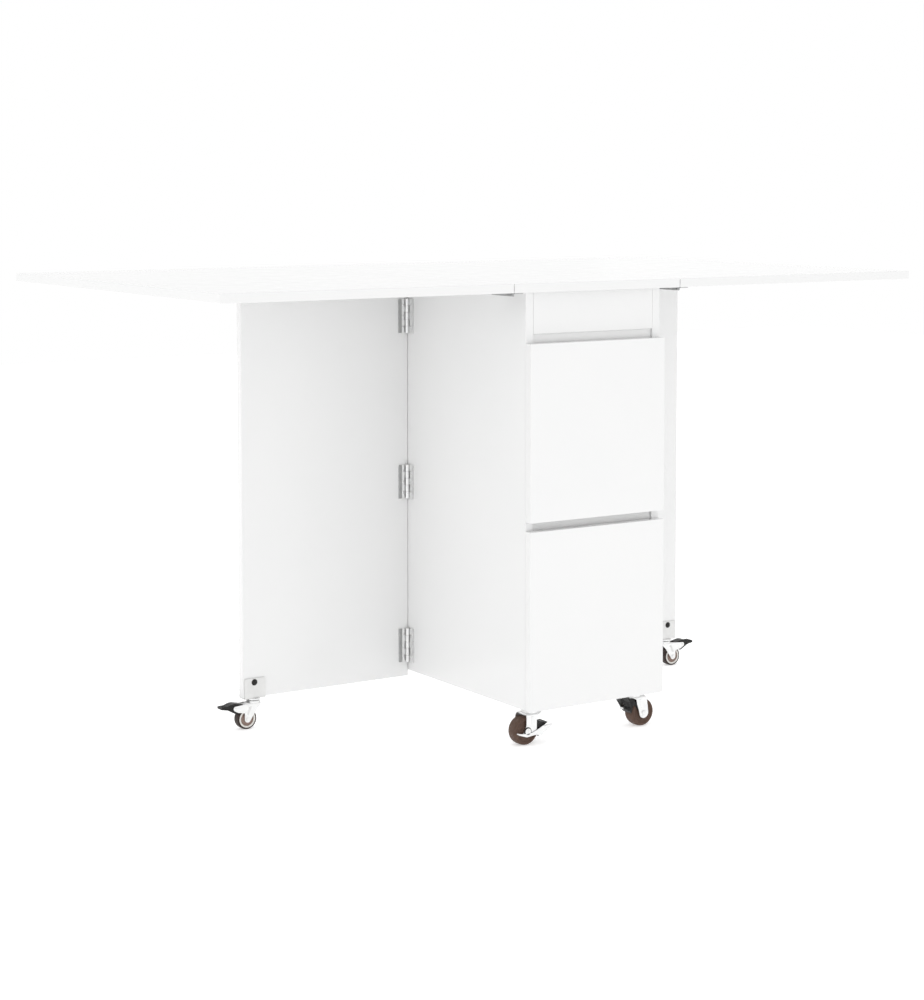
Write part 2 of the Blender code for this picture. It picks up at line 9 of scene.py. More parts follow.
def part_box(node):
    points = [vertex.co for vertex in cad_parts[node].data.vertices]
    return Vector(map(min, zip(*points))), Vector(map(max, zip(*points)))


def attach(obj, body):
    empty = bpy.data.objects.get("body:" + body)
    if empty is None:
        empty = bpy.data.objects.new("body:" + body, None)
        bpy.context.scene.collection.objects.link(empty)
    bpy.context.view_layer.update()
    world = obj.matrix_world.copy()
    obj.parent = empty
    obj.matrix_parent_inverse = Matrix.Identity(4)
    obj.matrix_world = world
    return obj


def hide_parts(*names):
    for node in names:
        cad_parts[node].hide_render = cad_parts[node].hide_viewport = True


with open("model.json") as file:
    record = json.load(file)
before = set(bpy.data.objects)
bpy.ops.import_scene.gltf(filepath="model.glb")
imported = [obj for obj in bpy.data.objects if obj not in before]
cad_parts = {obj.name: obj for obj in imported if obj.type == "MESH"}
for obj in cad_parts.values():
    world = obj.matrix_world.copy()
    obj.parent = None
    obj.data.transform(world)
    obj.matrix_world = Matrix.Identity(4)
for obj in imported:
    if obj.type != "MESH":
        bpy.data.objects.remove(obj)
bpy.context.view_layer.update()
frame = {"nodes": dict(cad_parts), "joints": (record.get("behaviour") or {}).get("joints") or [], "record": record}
JOINTS = {joint["name"]: joint for joint in frame["joints"]}
SIDES = {"left": -1, "right": 1}
TINY = 1e-9

# Sizes that the CAD model has too, in metres.
GAP = 0.0003
HALF_BOARD = 0.0075
BRACKET_STEEL = 0.0018
FORK_STEEL = 0.0018
GATE_FORK_STEEL = 0.0014
HINGE_STEEL = 0.0015
LEAF_HINGE_STEEL = 0.0011


# ---- Materials ----------------------------------------------------------------------------

# Most of a noise's values lie between these two.
NOISE_LOW, NOISE_HIGH = 0.3, 0.7

# Heights that a bump map stands for, in metres.
PLATING_RELIEF = 0.0001
MOULDED_RELIEF = 0.0003
COARSE_RELIEF = 0.0004


def node(tree, kind, inputs=None):
    """Add a shader node. An input is a value, or the socket that feeds it."""
    made = tree.nodes.new(kind)
    for key, value in (inputs or {}).items():
        if isinstance(value, bpy.types.NodeSocket):
            tree.links.new(value, made.inputs[key])
        else:
            made.inputs[key].default_value = value
    return made


def noise(tree, place, scale, detail=2.0, roughness=0.5):
    """A noise value. Its scale is about how many waves it has in a metre."""
    sockets = {"Vector": place, "Scale": scale, "Detail": detail, "Roughness": roughness}
    return node(tree, "ShaderNodeTexNoise", sockets).outputs["Fac"]


def spread(tree, value, low, high):
    """Map a noise value's usual range onto another range."""
    sockets = {
        "Value": value,
        "From Min": NOISE_LOW,
        "From Max": NOISE_HIGH,
        "To Min": low,
        "To Max": high,
    }
    return node(tree, "ShaderNodeMapRange", sockets).outputs["Result"]


def tint(tree, value, dark, light):
    """A colour between two, from a noise value."""
    ramp = node(tree, "ShaderNodeValToRGB", {"Fac": value})
    ends = ((NOISE_LOW, dark), (NOISE_HIGH, light))
    for stop, (position, colour) in zip(ramp.color_ramp.elements, ends):
        stop.position = position
        stop.color = (*colour, 1)
    return ramp.outputs["Color"]


def stretched(tree, scale):
    """Object coordinates, drawn out along one direction for grain and brushing."""
    place = node(tree, "ShaderNodeTexCoord").outputs["Object"]
    return node(tree, "ShaderNodeMapping", {"Vector": place, "Scale": scale}).outputs["Vector"]


def dress(tree, shader, colour, roughness):
    """Feed a shader its colour and its roughness."""
    tree.links.new(colour, shader.inputs["Base Color"])
    tree.links.new(roughness, shader.inputs["Roughness"])


def relief(tree, shader, value, strength, distance):
    """Give a shader a bump."""
    sockets = {"Height": value, "Strength": strength, "Distance": distance}
    bump = node(tree, "ShaderNodeBump", sockets)
    tree.links.new(bump.outputs["Normal"], shader.inputs["Normal"])


def finish_material(name, **sockets):
    """A new material, with its tree, its shader and its object coordinates."""
    made = bpy.data.materials.new(name)
    made.use_nodes = True
    tree = made.node_tree
    shader = tree.nodes["Principled BSDF"]
    for key, value in sockets.items():
        shader.inputs[key.replace("_", " ")].default_value = value
    place = node(tree, "ShaderNodeTexCoord").outputs["Object"]
    return made, tree, shader, place


def lacquer(name, dark, light):
    """The boards' finish: almost even, with a clear coat and a trace of haze."""
    coat = {"Coat_Weight": 0.25, "Coat_Roughness": 0.12}
    made, tree, shader, place = finish_material(name, **coat)
    cloud = noise(tree, place, scale=5.0, detail=3.0)
    haze = noise(tree, place, scale=38.0, detail=5.0, roughness=0.6)
    dress(tree, shader, tint(tree, cloud, dark, light), spread(tree, haze, low=0.20, high=0.26))
    peel = noise(tree, place, scale=420.0, detail=2.0)
    relief(tree, shader, peel, strength=0.02, distance=COARSE_RELIEF)
    return made


def drawer_board(name, dark, light):
    """The drawers' boxes: a foil with a faint grain from front to back."""
    made, tree, shader, place = finish_material(name)
    grain = noise(tree, stretched(tree, (260.0, 9.0, 260.0)), scale=1.0, detail=4.0)
    haze = noise(tree, place, scale=60.0, detail=3.0)
    dress(tree, shader, tint(tree, grain, dark, light), spread(tree, haze, low=0.46, high=0.60))
    relief(tree, shader, grain, strength=0.12, distance=COARSE_RELIEF)
    return made


def zinc(name, dark, light, smooth, rough):
    """Zinc plating: a faint bloom, over the fine lines of rolled steel."""
    made, tree, shader, place = finish_material(name, Metallic=1.0)
    bloom = noise(tree, place, scale=150.0, detail=3.0, roughness=0.55)
    haze = noise(tree, place, scale=300.0, detail=3.0)
    dress(tree, shader, tint(tree, bloom, dark, light), spread(tree, haze, smooth, rough))
    lines = noise(tree, stretched(tree, (300.0, 300.0, 2600.0)), scale=1.0, detail=3.0)
    relief(tree, shader, lines, strength=0.012, distance=PLATING_RELIEF)
    return made


def rubber(name, dark, light):
    """A tyre: dull, and pitted all over."""
    made, tree, shader, place = finish_material(name, Specular_IOR_Level=0.25)
    cloud = noise(tree, place, scale=130.0, detail=5.0, roughness=0.65)
    wear = noise(tree, place, scale=300.0, detail=4.0)
    dress(tree, shader, tint(tree, cloud, dark, light), spread(tree, wear, low=0.42, high=0.66))
    pits = noise(tree, place, scale=1500.0, detail=4.0, roughness=0.6)
    relief(tree, shader, pits, strength=0.25, distance=COARSE_RELIEF)
    return made


def black_plastic(name, dark, light):
    """Moulded nylon with the fine cells of a spark-eroded mould."""
    made, tree, shader, place = finish_material(name, Specular_IOR_Level=0.22)
    cloud = noise(tree, place, scale=220.0, detail=3.0)
    wear = noise(tree, place, scale=700.0, detail=3.0)
    dress(tree, shader, tint(tree, cloud, dark, light), spread(tree, wear, low=0.30, high=0.50))
    cells = node(tree, "ShaderNodeTexVoronoi", {"Vector": place, "Scale": 1600.0})
    relief(tree, shader, cells.outputs["Distance"], strength=0.20, distance=MOULDED_RELIEF)
    return made


def mottled(name, dark, light, smooth, rough, cloud, grain, strength):
    """A finish whose colour and roughness drift together, over a fine grain.

    The cloud and the grain are a noise's scale, its detail and, where given, its roughness.
    """
    made, tree, shader, place = finish_material(name)
    drift = noise(tree, place, *cloud)
    dress(tree, shader, tint(tree, drift, dark, light), spread(tree, drift, smooth, rough))
    relief(tree, shader, noise(tree, place, *grain), strength, MOULDED_RELIEF)
    return made


def painted_steel(name, dark, light):
    """Sprayed paint with a slight orange peel."""
    texture = {"cloud": (70.0, 4.0, 0.6), "grain": (900.0, 2.0), "strength": 0.15}
    return mottled(name, dark, light, smooth=0.30, rough=0.46, **texture)


def hub_plastic(name, dark, light):
    """The brown disc of a gate's wheel."""
    texture = {"cloud": (160.0, 4.0), "grain": (1100.0, 3.0), "strength": 0.12}
    return mottled(name, dark, light, smooth=0.34, rough=0.50, **texture)


def pale_plastic(name, dark, light):
    """Rims, rollers and glides."""
    texture = {"cloud": (180.0, 3.0), "grain": (1200.0, 2.0), "strength": 0.10}
    return mottled(name, dark, light, smooth=0.34, rough=0.48, **texture)


# Each slot's recipe, and what the recipe takes: the darkest and the lightest colour, and for
# zinc the least and the greatest roughness.
FINISHES = {
    "white_lacquer": (lacquer, (0.796, 0.798, 0.797), (0.808, 0.808, 0.806)),
    "drawer_board": (drawer_board, (0.70, 0.69, 0.665), (0.79, 0.785, 0.765)),
    "zinc_steel": (zinc, (0.77, 0.775, 0.78), (0.82, 0.82, 0.81), 0.27, 0.32),
    # dull_zinc is a darker copy of the zinc plating: painted shade for the leaf hinges and for the gate hinges'
    # dark band.
    "dull_zinc": (zinc, (0.37, 0.375, 0.38), (0.44, 0.44, 0.435), 0.42, 0.52),
    "bracket_grey": (painted_steel, (0.690, 0.690, 0.682), (0.740, 0.740, 0.732)),
    "brown_rubber": (rubber, (0.076, 0.044, 0.032), (0.110, 0.066, 0.048)),
    # The gate tyres' rubber is a darker copy of the brown rubber: painted shade.
    "dark_rubber": (rubber, (0.026, 0.017, 0.014), (0.042, 0.028, 0.024)),
    "black_plastic": (black_plastic, (0.010, 0.010, 0.010), (0.022, 0.021, 0.020)),
    "hub_plastic": (hub_plastic, (0.235, 0.160, 0.132), (0.300, 0.210, 0.178)),
    "pale_plastic": (pale_plastic, (0.64, 0.62, 0.585), (0.745, 0.73, 0.70)),
}
MATERIALS = {slot: recipe(slot, *values) for slot, (recipe, *values) in FINISHES.items()}

SLOT_OF = {part["node"]: part["material_slot"] for part in frame["record"]["subparts"]}
for name, cad_node in frame["nodes"].items():
    cad_node.data.materials.clear()
    cad_node.data.materials.append(MATERIALS[SLOT_OF[name]])


# ---- Mesh tools ---------------------------------------------------------------------------

# Lays an upright outline flat, and turns a lathe's axis from Z to Y.
QUARTER_TURN = Matrix.Rotation(math.pi / 2, 4, "X")

# The most of an edge that one rounded corner may take up.
CORNER_SHARE = 0.45

# The angles along a rounded corner or a bend of the gates' brackets.
CORNER_TURNS = [math.radians(turn) for turn in range(0, 91, 15)]

# How many steps the bend at the top of a fork's cheek takes.
BEND_STEPS = 7


def lathe(shape, profile, place=Matrix(), steps=48, closed=False):
    """Revolve a profile of (radius, height) points about the local Z axis."""
    turns = [2 * math.pi * i / steps for i in range(steps)]
    rings = []
    for radius, height in profile:
        if radius < TINY:
            rings.append([shape.verts.new(place @ Vector((0, 0, height)))])
            continue
        rings.append([
            shape.verts.new(
                place @ Vector((radius * math.cos(turn), radius * math.sin(turn), height))
            )
            for turn in turns
        ])
    pairs = list(zip(rings, rings[1:]))
    if closed:
        pairs.append((rings[-1], rings[0]))
    for one, other in pairs:
        for i in range(steps):
            j = (i + 1) % steps
            if len(one) == 1:
                shape.faces.new((one[0], other[i], other[j]))
            elif len(other) == 1:
                shape.faces.new((one[i], one[j], other[0]))
            else:
                shape.faces.new((one[i], one[j], other[j], other[i]))


def rod(shape, radius, length, place, steps):
    """A plain pin from z = 0 to its length."""
    lathe(shape, [(0, 0), (radius, 0), (radius, length), (0, length)], place, steps)


def ring(shape, inner, outer, low, high, place):
    """A flat ring between two heights."""
    profile = [(inner, low), (outer, low), (outer, high), (inner, high)]
    lathe(shape, profile, place, 36, closed=True)


def both_faces(profile, tread=()):
    """A profile, the points of a tread, and the profile's mirror image below z = 0."""
    return profile + list(tread) + [(radius, -height) for radius, height in reversed(profile)]


def prism(shape, outline, thickness, place=Matrix()):
    """An outline in the local X-Z plane, given a thickness along Y, both ways from its middle."""
    low = [shape.verts.new(place @ Vector((x, -thickness / 2, z))) for x, z in outline]
    high = [shape.verts.new(place @ Vector((x, thickness / 2, z))) for x, z in outline]
    shape.faces.new(low)
    shape.faces.new(list(reversed(high)))
    for i in range(len(outline)):
        j = (i + 1) % len(outline)
        shape.faces.new((low[j], low[i], high[i], high[j]))


def strap(shape, rows, thickness, place=Matrix()):
    """Bent sheet metal. A row is its middle (y, z), its normal (y, z), and its two ends in x."""
    half = thickness / 2
    rings = []
    for (y, z), (across, up), low_x, high_x in rows:
        corners = [(low_x, half), (high_x, half), (high_x, -half), (low_x, -half)]
        rings.append([
            shape.verts.new(place @ Vector((x, y + across * side, z + up * side)))
            for x, side in corners
        ])
    shape.faces.new(rings[0])
    shape.faces.new(list(reversed(rings[-1])))
    for one, other in zip(rings, rings[1:]):
        for i in range(4):
            j = (i + 1) % 4
            shape.faces.new((one[j], one[i], other[i], other[j]))


def arc(x, z, radius, start, end, steps):
    """Points on an arc, with its angles in degrees."""
    turns = [math.radians(start + (end - start) * i / steps) for i in range(steps + 1)]
    return [(x + radius * math.cos(turn), z + radius * math.sin(turn)) for turn in turns]


def fillet(points, radius, steps=4, closed=True):
    """Round the corners of an outline or a profile."""
    rounded = []
    count = len(points)
    for i, point in enumerate(points):
        if not closed and i in (0, count - 1):
            rounded.append(point)
            continue
        here = Vector(point)
        back = Vector(points[i - 1]) - here
        ahead = Vector(points[(i + 1) % count]) - here
        reach = min(radius, CORNER_SHARE * back.length, CORNER_SHARE * ahead.length)
        start = here + back.normalized() * reach
        end = here + ahead.normalized() * reach
        for k in range(steps + 1):
            t = k / steps
            spot = start * (1 - t) ** 2 + here * (2 * t * (1 - t)) + end * t ** 2
            rounded.append((spot.x, spot.y))
    return rounded


def across_at(line, z):
    """The x of a rising line of (x, z) points at a height."""
    for (x_low, z_low), (x_high, z_high) in zip(line, line[1:]):
        if z <= z_high:
            share = (z - z_low) / max(z_high - z_low, TINY)
            return x_low + (x_high - x_low) * min(max(share, 0.0), 1.0)
    return line[-1][0]


def cheek_rows(inboard, outboard, half_y, bridge_z, bend, bridge_ends):
    """The rows of one cheek of a fork, from its round end to the middle of the bend at its top."""
    top_z = bridge_z - bend
    heights = sorted({z for _, z in inboard + outboard if z < top_z} | {top_z})
    rows = [
        ((-half_y, z), (-1, 0), across_at(inboard, z), across_at(outboard, z)) for z in heights
    ]
    top = (across_at(inboard, top_z), across_at(outboard, top_z))
    for i in range(1, BEND_STEPS + 1):
        turn = math.radians(90 * i / BEND_STEPS)
        share = (1 - i / BEND_STEPS) ** 2
        y = -half_y + bend - bend * math.cos(turn)
        z = top_z + bend * math.sin(turn)
        ends = [bridge_ends[k] + (top[k] - bridge_ends[k]) * share for k in (0, 1)]
        rows.append(((y, z), (-math.cos(turn), math.sin(turn)), *ends))
    return rows


def mirrored(rows):
    """The same rows on the other side of the fork, in the order that follows on."""
    return [
        ((-y, z), (-across, up), low_x, high_x)
        for (y, z), (across, up), low_x, high_x in reversed(rows)
    ]


def piece(name, shape, slot, body, bevel=0.0, angle=35, segments=2):
    """Make an object from a shape, with its finish, riding on a body."""
    bmesh.ops.recalc_face_normals(shape, faces=shape.faces)
    mesh = bpy.data.meshes.new(name)
    shape.to_mesh(mesh)
    shape.free()
    mesh.shade_smooth()
    mesh.set_sharp_from_angle(angle=math.radians(angle))
    mesh.materials.append(MATERIALS[slot])
    made = bpy.data.objects.new(name, mesh)
    bpy.context.scene.collection.objects.link(made)
    if bevel:
        edge = made.modifiers.new("edges", "BEVEL")
        edge.width = bevel
        edge.segments = segments
        edge.limit_method = "ANGLE"
        edge.angle_limit = math.radians(angle)
        edge.harden_normals = True
    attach(made, body)
    return made


def outward(x, y, z, way):
    """A place whose local X axis points away from the table's middle."""
    return Matrix.Translation((x, y, z)) @ Matrix.Rotation(0 if way > 0 else math.pi, 4, "Z")


def beside(place, y):
    """The same place, moved along its own Y axis."""
    return place @ Matrix.Translation((0, y, 0))


def facing(point, direction):
    """A place whose local Z axis looks along a direction."""
    turn = Vector(direction).to_track_quat("Z", "Y").to_matrix().to_4x4()
    return Matrix.Translation(point) @ turn


def sideways(place, spot, y, way):
    """A place at (x, z) and y on another, whose local Z axis looks along the other's Y axis."""
    x, z = spot
    return facing(place @ Vector((x, y, z)), place.to_3x3() @ Vector((0, way, 0)))


def crosshead(radius, height):
    """A screw head with a cross recess, drawn with its underside at z = 0."""
    head = bmesh.new()
    dome = [(0, height), (radius * 0.55, height * 0.94), (radius * 0.86, height * 0.62)]
    dome += [(radius, height * 0.12), (radius, -height * 0.5), (0, -height * 0.5)]
    lathe(head, dome, steps=28)
    cross = bmesh.new()
    wing, arm = radius * 0.13, radius * 0.56
    outline = [(wing, arm), (wing, wing), (arm, wing), (arm, -wing), (wing, -wing), (wing, -arm)]
    outline += [(-x, -z) for x, z in outline]
    prism(cross, outline, height * 1.2, Matrix.Translation((0, 0, height)) @ QUARTER_TURN)
    made = []
    for name, shape in (("head", head), ("cross", cross)):
        bmesh.ops.recalc_face_normals(shape, faces=shape.faces)
        mesh = bpy.data.meshes.new(name)
        shape.to_mesh(mesh)
        shape.free()
        made.append(bpy.data.objects.new(name, mesh))
        bpy.context.scene.collection.objects.link(made[-1])
    cut = made[0].modifiers.new("recess", "BOOLEAN")
    cut.operation = "DIFFERENCE"
    cut.solver = "EXACT"
    cut.object = made[1]
    bpy.context.view_layer.update()
    depsgraph = bpy.context.evaluated_depsgraph_get()
    mesh = bpy.data.meshes.new_from_object(made[0].evaluated_get(depsgraph))
    for each in made:
        bpy.data.objects.remove(each)
    return mesh


SCREW = crosshead(radius=0.0027, height=0.0007)
SMALL_SCREW = crosshead(radius=0.0021, height=0.0006)


def screws(name, places, screw, body):
    """Several screw heads as one piece. Each place's Z axis is the way its head looks."""
    shape = bmesh.new()
    for place in places:
        first = len(shape.verts)
        shape.from_mesh(screw)
        shape.verts.ensure_lookup_table()
        bmesh.ops.transform(shape, matrix=place, verts=shape.verts[first:])
    return piece(name, shape, "zinc_steel", body)


def hex_head(shape, place, width, height):
    """A hexagon bolt head or nut with a chamfered crown and a short thread end."""
    corner = width / math.sqrt(3)
    crown = [(corner, height * 0.82), (corner * 0.86, height)]
    lathe(shape, [(0, 0), (corner, 0), *crown, (0, height)], place, steps=6)
    tip = height * 1.28
    thread = [(width * 0.24, height), (width * 0.20, tip)]
    lathe(shape, [(0, height), *thread, (0, tip)], place, steps=20)


# ---- Hinges -------------------------------------------------------------------------------

# A gate hinge's screws: how far they are from the pin in each leaf, their step along it, and how
# much further from the pin the middle one of the fixed leaf is.
GATE_SCREW_REACH_MOVING = 0.0064
GATE_SCREW_REACH_FIXED = 0.0095
GATE_SCREW_STEP = 0.0195
GATE_SCREW_STAGGER = 0.0020

# The dark band's section, as distances from the pin and from the leaf's face, and how much shorter
# than the leaf it is. The band is drawn in the darker zinc as painted shade.
SHADE_BAND = [
    (0.0090, 0.0010), (0.0096, 0.0014), (0.0146, 0.0014),
    (0.0150, 0.0010), (0.0150, 0.0), (0.0090, 0.0),
]
SHADE_BAND_SHORTER = 0.0006

PIN_CAP = [(0, 0.0012), (0.0018, 0.0010), (0.0028, 0.0005), (0.0030, 0), (0, 0)]

# A leaf hinge's screws: from the pin, and from the middle one as a share of the leaf's length.
LEAF_SCREW_REACH = 0.0125
LEAF_SCREW_SHARE = 0.33


def gate_hinge_details(side, way):
    """Three screws in each leaf, the pin's rounded ends, and a raised band on the gate's leaf, made darker as
    painted shade.
    """
    pin = Vector(JOINTS[f"{side}_gate_hinge"]["pos_m"])
    gate_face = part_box(f"gate_panel_{side}")[0].y - GAP - HINGE_STEEL
    cabinet_face = way * (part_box("cabinet_side_right")[1].x + GAP + HINGE_STEEL)
    moving_x = pin.x + way * GATE_SCREW_REACH_MOVING
    fixed_y = pin.y - GATE_SCREW_REACH_FIXED
    for level in ("upper", "middle", "lower"):
        low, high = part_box(f"gate_hinge_{side}_{level}_moving")
        middle_z = (low.z + high.z) / 2
        heights = (middle_z - GATE_SCREW_STEP, middle_z, middle_z + GATE_SCREW_STEP)
        depths = (fixed_y, fixed_y - GATE_SCREW_STAGGER, fixed_y)
        moving = [facing((moving_x, gate_face, z), (0, -1, 0)) for z in heights]
        fixed = [
            facing((cabinet_face, y, z), (way, 0, 0)) for y, z in zip(depths, heights)
        ]
        screws(f"gate_hinge_screws_{side}_{level}_moving", moving, SMALL_SCREW, f"{side}_gate")
        screws(f"gate_hinge_screws_{side}_{level}_fixed", fixed, SCREW, "cabinet")
        ends = bmesh.new()
        for z, look in ((high.z, 1), (low.z, -1)):
            lathe(ends, PIN_CAP, facing((pin.x, pin.y, z), (0, 0, look)), steps=24)
        piece(f"gate_hinge_pin_ends_{side}_{level}", ends, "zinc_steel", "cabinet")
        shade_band = bmesh.new()
        outline = [(pin.x + way * reach, out - gate_face) for reach, out in SHADE_BAND]
        length = high.z - low.z - SHADE_BAND_SHORTER
        prism(shade_band, outline, length, Matrix.Translation((0, 0, middle_z)) @ QUARTER_TURN)
        # The band's darker zinc is painted shade.
        piece(f"gate_hinge_shade_band_{side}_{level}", shade_band, "dull_zinc", f"{side}_gate", bevel=0.0003)


def copied(name, source, move, slot, body):
    """The same pressed part again at another place."""
    shape = bmesh.new()
    shape.from_mesh(frame["nodes"][source].data)
    bmesh.ops.transform(shape, matrix=Matrix.Translation(move), verts=shape.verts)
    return piece(name, shape, slot, body)


def leaf_hinge_details(side, way):
    """The second hinge of each leaf, near the back, and the screws of both."""
    pin = Vector(JOINTS[f"{side}_leaf_hinge"]["pos_m"])
    to_rear = Vector((0, -2 * pin.y, 0))
    for half, body, outer in (("fixed", "cabinet", -way), ("moving", f"{side}_leaf", way)):
        source = f"leaf_hinge_{side}_{half}"
        # The rear hinge is drawn in the darker zinc, which is painted shade.
        copied(f"leaf_hinge_rear_{side}_{half}", source, to_rear, "dull_zinc", body)
        low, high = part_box(source)
        x = pin.x + outer * LEAF_SCREW_REACH
        z = high.z - LEAF_HINGE_STEEL
        step = (high.y - low.y) * LEAF_SCREW_SHARE
        for end, middle_y in (("front", pin.y), ("rear", -pin.y)):
            depths = (middle_y - step, middle_y, middle_y + step)
            places = [facing((x, y, z), (0, 0, -1)) for y in depths]
            screws(f"leaf_hinge_screws_{end}_{side}_{half}", places, SMALL_SCREW, body)


# ---- Gate casters -------------------------------------------------------------------------

GATE_FORK_HALF_Y = 0.0093
GATE_FORK_OUTSIDE = GATE_FORK_HALF_Y + GATE_FORK_STEEL / 2
GATE_WHEEL_HALF = 0.0080
PEDAL_WIDTH = 0.0162
BAR_SHARE = 0.80
GLIDE_CLEARANCE = 0.0004
GLIDE_REACHES = (0.110, 0.280)


def gate_bracket(side, way):
    """The painted channel that clasps the gate's lower edge, its bolt, and the upper race."""
    swivel = JOINTS[f"{side}_gate_swivel"]["pos_m"]
    edge_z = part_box(f"gate_panel_{side}")[0].z
    place = outward(swivel[0], swivel[1], edge_z, way)
    body = f"{side}_gate"
    half_y = HALF_BOARD + GAP + BRACKET_STEEL / 2
    base_z = -GAP - BRACKET_STEEL / 2
    top_z = 0.0332
    half_x = 0.0200
    bend = 0.0018
    corner = 0.0030
    rows = []
    for turn in CORNER_TURNS:
        inset = corner * (1 - math.sin(turn))
        z = top_z - corner * (1 - math.cos(turn))
        rows.append(((-half_y, z), (-1, 0), -half_x + inset, half_x - inset))
    for turn in CORNER_TURNS:
        y = -half_y + bend - bend * math.cos(turn)
        z = base_z + bend - bend * math.sin(turn)
        rows.append(((y, z), (-math.cos(turn), -math.sin(turn)), -half_x, half_x))
    shape = bmesh.new()
    strap(shape, rows + mirrored(rows), BRACKET_STEEL, place)
    channel = piece(f"gate_bracket_{side}", shape, "bracket_grey", body, bevel=0.0003)
    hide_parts(f"gate_caster_bracket_{side}")

    race = bmesh.new()
    cup = [(0, base_z), (0.0118, base_z), (0.0128, base_z - 0.0010), (0.0128, base_z - 0.0028)]
    cup += [(0.0121, base_z - 0.0035), (0, base_z - 0.0035)]
    lathe(race, cup, place, steps=56)
    piece(f"gate_race_{side}", race, "zinc_steel", body, bevel=0.0002)

    bolt = bmesh.new()
    face = half_y + BRACKET_STEEL / 2
    button = [(0, 0.0024), (0.0018, 0.0023), (0.0034, 0.0019), (0.0047, 0.0012)]
    button += [(0.0054, 0.0003), (0.0055, 0), (0, 0)]
    for front in (-1, 1):
        spot = place @ Vector((0.0015, front * face, 0.0262))
        lathe(bolt, button, facing(spot, (0, front * way, 0)), steps=36)
    piece(f"gate_bracket_bolt_{side}", bolt, "black_plastic", body)


def gate_fork_steel(side, place, axle, eye):
    """The pressed fork with its arm to the pedal, and the lower race on its bridge."""
    round_end = 0.0059
    inboard = list(reversed(arc(*axle, round_end, start=195, end=263, steps=7)))
    inboard += [(0.0017, 0.0269), (-0.0022, 0.0334), (-0.0071, 0.0379), (-0.0104, 0.0424)]
    outboard = arc(*axle, round_end, start=277, end=350, steps=7)
    outboard += [(0.0204, 0.0288), (0.0215, 0.0292), (0.0330, 0.0312)]
    outboard += arc(*eye, radius=0.0042, start=-62, end=80, steps=9)
    bridge_z = 0.0446
    rows = cheek_rows(
        inboard, outboard, GATE_FORK_HALF_Y, bridge_z, bend=0.0020, bridge_ends=(-0.0105, 0.0105)
    )
    shape = bmesh.new()
    strap(shape, rows + mirrored(rows), GATE_FORK_STEEL, place)
    race = [(0, bridge_z), (0.0118, bridge_z), (0.0122, 0.0452), (0.0122, 0.0474)]
    race += [(0.0114, 0.0483), (0, 0.0483)]
    lathe(shape, race, place, steps=56)
    made = piece(f"gate_fork_{side}", shape, "zinc_steel", f"{side}_gate_fork", bevel=0.0003)
    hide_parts(f"gate_caster_fork_{side}")


def gate_fork(side, way):
    """The fork, and the bead, axle and rivet on it."""
    swivel = JOINTS[f"{side}_gate_swivel"]["pos_m"]
    spin = JOINTS[f"{side}_gate_wheel_spin"]["pos_m"]
    press = JOINTS[f"{side}_gate_pedal_press"]["pos_m"]
    place = outward(swivel[0], swivel[1], 0, way)
    axle = (abs(spin[0] - swivel[0]), spin[2])
    eye = (abs(press[0] - swivel[0]), press[2])
    outside = GATE_FORK_OUTSIDE
    body = f"{side}_gate_fork"
    gate_fork_steel(side, place, axle, eye)

    bead = bmesh.new()
    ridge = [(0.0062, 0.0400), (0.0108, 0.0400), (0.0150, 0.0300), (0.0160, 0.0262)]
    ridge += [(0.0140, 0.0250), (0.0118, 0.0290)]
    for front in (-1, 1):
        flat = fillet(ridge, radius=0.0020)
        prism(bead, flat, thickness=0.0012, place=beside(place, front * outside))
    piece(f"gate_fork_bead_{side}", bead, "bracket_grey", body, bevel=0.0005, segments=3)

    pins = bmesh.new()
    rivet = [(0, 0.0010), (0.0012, 0.0009), (0.0021, 0.0004), (0.0022, 0), (0, 0)]
    for front in (-1, 1):
        nut = sideways(place, axle, front * outside, front)
        hex_head(pins, nut, width=0.0060, height=0.0014)
        lathe(pins, rivet, sideways(place, eye, front * outside, front), steps=24)
    for spot, radius, steps in ((axle, 0.0024, 24), (eye, 0.0016, 20)):
        rod(pins, radius, 2 * outside, sideways(place, spot, -outside, 1), steps)
    piece(f"gate_fork_pins_{side}", pins, "zinc_steel", body)


def gate_wheel(side):
    """A rubber tyre on a pale rim, with a moulded disc at its middle."""
    place = facing(JOINTS[f"{side}_gate_wheel_spin"]["pos_m"], (0, 1, 0))
    body = f"{side}_gate_wheel"
    half = GATE_WHEEL_HALF
    wall = [(0.0140, half * 0.80), (0.0152, half * 0.98), (0.0166, half)]
    wall += [(0.0177, half * 0.86), (0.0180, half * 0.50)]
    tyre = bmesh.new()
    tread = [(0.0180, 0)]
    profile = fillet(both_faces(wall, tread), radius=0.0006, steps=3)
    lathe(tyre, profile, place, steps=72, closed=True)
    # The tyre takes the darker rubber, which is painted shade.
    made = piece(f"gate_tyre_{side}", tyre, "dark_rubber", body)
    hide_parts(f"gate_caster_wheel_{side}")
    hoop = [(0.0118, half * 0.40), (0.0120, half * 0.93), (0.0126, half * 1.0)]
    hoop += [(0.0148, half * 1.0), (0.0153, half * 0.90), (0.0153, half * 0.30)]
    rim = bmesh.new()
    lathe(rim, both_faces(hoop), place, steps=72, closed=True)
    piece(f"gate_rim_{side}", rim, "pale_plastic", body, bevel=0.0002)
    web = [(0.0027, half * 0.98), (0.0050, half * 0.98), (0.0056, half * 0.72)]
    web += [(0.0108, half * 0.66), (0.0119, half * 0.80), (0.0122, half * 0.80)]
    disc = bmesh.new()
    lathe(disc, both_faces(web), place, steps=72, closed=True)
    piece(f"gate_hub_{side}", disc, "hub_plastic", body, bevel=0.0002)


